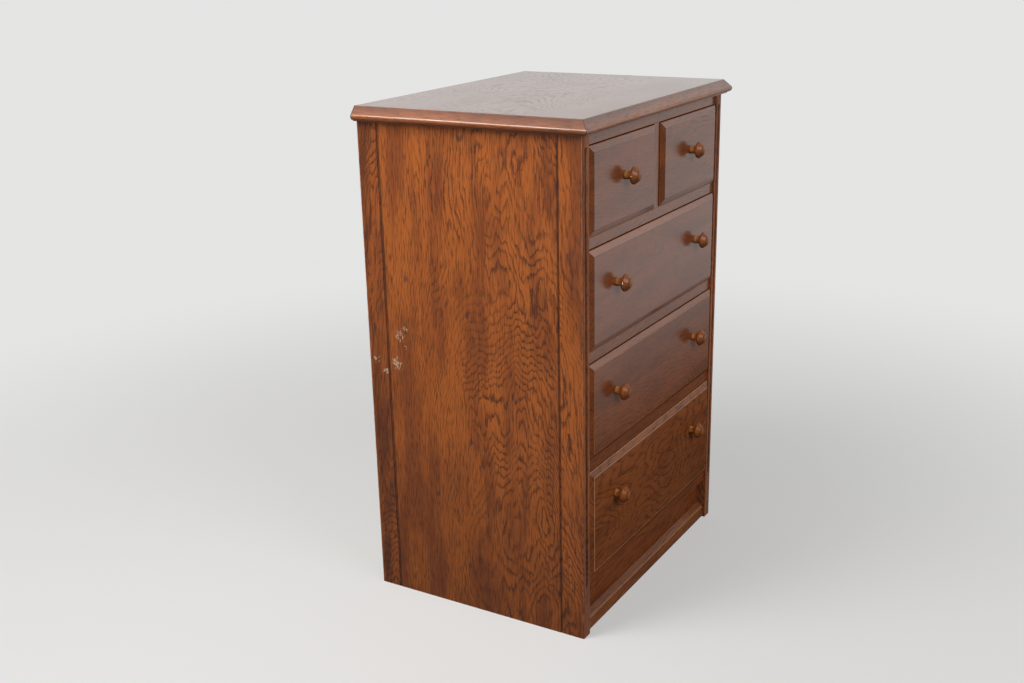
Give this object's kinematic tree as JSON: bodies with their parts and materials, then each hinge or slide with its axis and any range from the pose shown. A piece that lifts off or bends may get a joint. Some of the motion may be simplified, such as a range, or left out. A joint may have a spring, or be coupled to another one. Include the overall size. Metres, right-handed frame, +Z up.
{
  "type": "chest of drawers",
  "caption": "Stained oak chest with small drawers side by side over wide drawers, bevelled fronts, turned knobs, fluted posts and a moulded top; every drawer slides.",
  "frame": {"origin": "on the floor, under the middle of the whole outline with the knobs counted in", "axes": "+X to the right as seen from the front, +Y from the drawer fronts to the back, +Z up"},
  "size_m": [0.683, 0.527, 1.031],
  "materials": {
    "stained_oak": "oak stained dark reddish brown under a semi-gloss lacquer, worn lighter along the arrises",
    "knob_wood": "turned hardwood, stained amber brown, gloss lacquer",
    "drawer_box_wood": "plain oak boards, thinly sealed",
    "plywood": "thin plywood, thinly sealed",
    "steel": "plain steel"
  },
  "bodies": {
    "case": {"apron": "stained_oak", "back_panel": "plywood", "back_rail_bottom": "drawer_box_wood", "back_rail_middle": "drawer_box_wood", "back_rail_top": "drawer_box_wood", "base_rail": "stained_oak", "bottom_panel": "plywood", "bottom_rail": "stained_oak", "drawer_guides": "drawer_box_wood", "drawer_stops": "drawer_box_wood", "front_post_left": "stained_oak", "front_post_right": "stained_oak", "muntin": "stained_oak", "rail_over_bottom_row": "stained_oak", "rail_over_second_row": "stained_oak", "rail_over_third_row": "stained_oak", "rear_post_left": "stained_oak", "rear_post_right": "stained_oak", "runners_bottom_row": "drawer_box_wood", "runners_second_row": "drawer_box_wood", "runners_third_row": "drawer_box_wood", "runners_top_row": "drawer_box_wood", "side_panel_left": "stained_oak", "side_panel_right": "stained_oak", "top_board": "stained_oak", "top_moulding_front": "stained_oak", "top_moulding_left": "stained_oak", "top_moulding_right": "stained_oak", "top_rail": "stained_oak", "top_screws": "steel"},
    "bottom_drawer": {"bottom_drawer_back": "drawer_box_wood", "bottom_drawer_bottom": "plywood", "bottom_drawer_front": "stained_oak", "bottom_drawer_knobs": "knob_wood", "bottom_drawer_left_side": "drawer_box_wood", "bottom_drawer_right_side": "drawer_box_wood"},
    "third_drawer": {"third_drawer_back": "drawer_box_wood", "third_drawer_bottom": "plywood", "third_drawer_front": "stained_oak", "third_drawer_knobs": "knob_wood", "third_drawer_left_side": "drawer_box_wood", "third_drawer_right_side": "drawer_box_wood"},
    "second_drawer": {"second_drawer_back": "drawer_box_wood", "second_drawer_bottom": "plywood", "second_drawer_front": "stained_oak", "second_drawer_knobs": "knob_wood", "second_drawer_left_side": "drawer_box_wood", "second_drawer_right_side": "drawer_box_wood"},
    "top_left_drawer": {"top_left_drawer_back": "drawer_box_wood", "top_left_drawer_bottom": "plywood", "top_left_drawer_front": "stained_oak", "top_left_drawer_knob": "knob_wood", "top_left_drawer_left_side": "drawer_box_wood", "top_left_drawer_right_side": "drawer_box_wood"},
    "top_right_drawer": {"top_right_drawer_back": "drawer_box_wood", "top_right_drawer_bottom": "plywood", "top_right_drawer_front": "stained_oak", "top_right_drawer_knob": "knob_wood", "top_right_drawer_left_side": "drawer_box_wood", "top_right_drawer_right_side": "drawer_box_wood"}
  },
  "joints": [
    {"name": "bottom_drawer_slide", "type": "slide", "parent": "case", "child": "bottom_drawer", "axis": [0, -1, 0], "range_m": [0, 0.35]},
    {"name": "third_drawer_slide", "type": "slide", "parent": "case", "child": "third_drawer", "axis": [0, -1, 0], "range_m": [0, 0.35]},
    {"name": "second_drawer_slide", "type": "slide", "parent": "case", "child": "second_drawer", "axis": [0, -1, 0], "range_m": [0, 0.35]},
    {"name": "top_left_drawer_slide", "type": "slide", "parent": "case", "child": "top_left_drawer", "axis": [0, -1, 0], "range_m": [0, 0.35]},
    {"name": "top_right_drawer_slide", "type": "slide", "parent": "case", "child": "top_right_drawer", "axis": [0, -1, 0], "range_m": [0, 0.35]}
  ]
}
